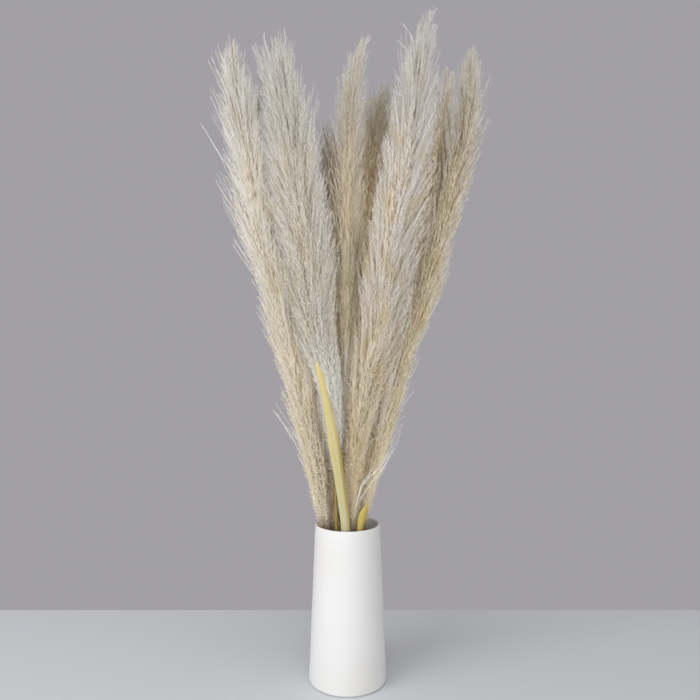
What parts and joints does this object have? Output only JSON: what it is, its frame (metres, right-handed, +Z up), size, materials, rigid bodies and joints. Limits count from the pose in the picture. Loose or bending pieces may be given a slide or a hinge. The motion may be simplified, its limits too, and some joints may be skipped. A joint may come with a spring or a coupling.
{
  "type": "bundle of pampas grass",
  "caption": "Dried feathery grass plumes and straw leaves standing loosely in a tapered matte white vase with a flat base.",
  "frame": {"origin": "centre of the vase's flat underside, on the surface it stands on", "axes": "+Z up along the vase's axis, -Y towards the front, where the long leaf leans out, +X to the right seen from the front"},
  "size_m": [0.499, 0.2725, 1.164],
  "materials": {
    "vase": "matte",
    "plume": "matte",
    "leaf": "satin"
  },
  "bodies": {
    "root": {"vase": "vase", "plume_far_left": "plume", "plume_left": "plume", "plume_centre": "plume", "plume_tall": "plume", "plume_right": "plume", "plume_back_centre": "plume", "plume_back_right": "plume", "leaf_long": "leaf", "leaf_short": "leaf"}
  },
  "joints": []
}
